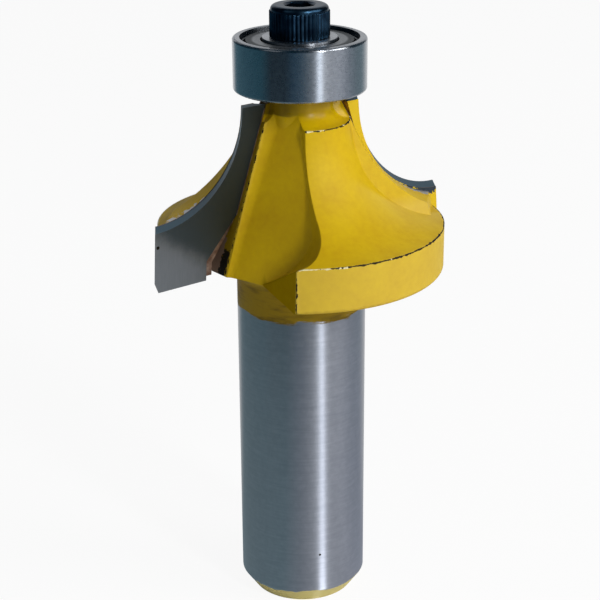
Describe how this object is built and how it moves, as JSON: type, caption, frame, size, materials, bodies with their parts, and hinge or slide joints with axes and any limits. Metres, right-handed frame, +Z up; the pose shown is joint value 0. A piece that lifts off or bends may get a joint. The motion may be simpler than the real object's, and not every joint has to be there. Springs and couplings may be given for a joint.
{
  "type": "router bit",
  "caption": "Round-over router bit with brazed carbide cutting tips, a chip-limiting body and a ball-bearing pilot, on a plain cylindrical shank.",
  "frame": {"origin": "centre of the shank's end face, on the axis of rotation", "axes": "+Z up the axis from the shank to the pilot bearing; -Y is the side that the picture shows, +X to its right"},
  "size_m": [0.028, 0.028, 0.0607],
  "materials": {
    "enamelled_steel": "semi-gloss yellow enamel on the cutter, ground bare steel on the shank",
    "carbide": "ground tungsten carbide",
    "braze": "dull brazing alloy",
    "bearing_steel": "ground bearing steel",
    "shield_steel": "pressed steel sheet",
    "spring_wire": "drawn steel wire",
    "ball_steel": "polished bearing steel",
    "cage_steel": "pressed steel ribbon",
    "black_oxide_steel": "black oxide on alloy steel"
  },
  "bodies": {
    "cutter": {"cutter_body": "enamelled_steel", "carbide_tip_1": "carbide", "carbide_tip_2": "carbide", "braze_seam_1": "braze", "braze_seam_2": "braze", "bearing_inner_ring": "bearing_steel", "cap_screw": "black_oxide_steel"},
    "pilot_ring": {"bearing_outer_ring": "bearing_steel", "shield_upper": "shield_steel", "shield_lower": "shield_steel", "shield_wire_upper": "spring_wire", "shield_wire_lower": "spring_wire"},
    "ball_cage": {"ball_1": "ball_steel", "ball_2": "ball_steel", "ball_3": "ball_steel", "ball_4": "ball_steel", "ball_5": "ball_steel", "ball_6": "ball_steel", "ball_7": "ball_steel", "cage_upper": "cage_steel", "cage_lower": "cage_steel"}
  },
  "joints": [
    {"name": "pilot_spin", "type": "hinge", "parent": "cutter", "child": "pilot_ring", "pos_m": [0, 0, 0.05525], "axis": [0, 0, 1], "continuous": true},
    {"name": "cage_spin", "type": "hinge", "parent": "cutter", "child": "ball_cage", "pos_m": [0, 0, 0.05525], "axis": [0, 0, 1], "continuous": true}
  ],
  "couplings": [
    {"joint": "cage_spin", "follows": "pilot_spin", "ratio": 0.6364}
  ]
}
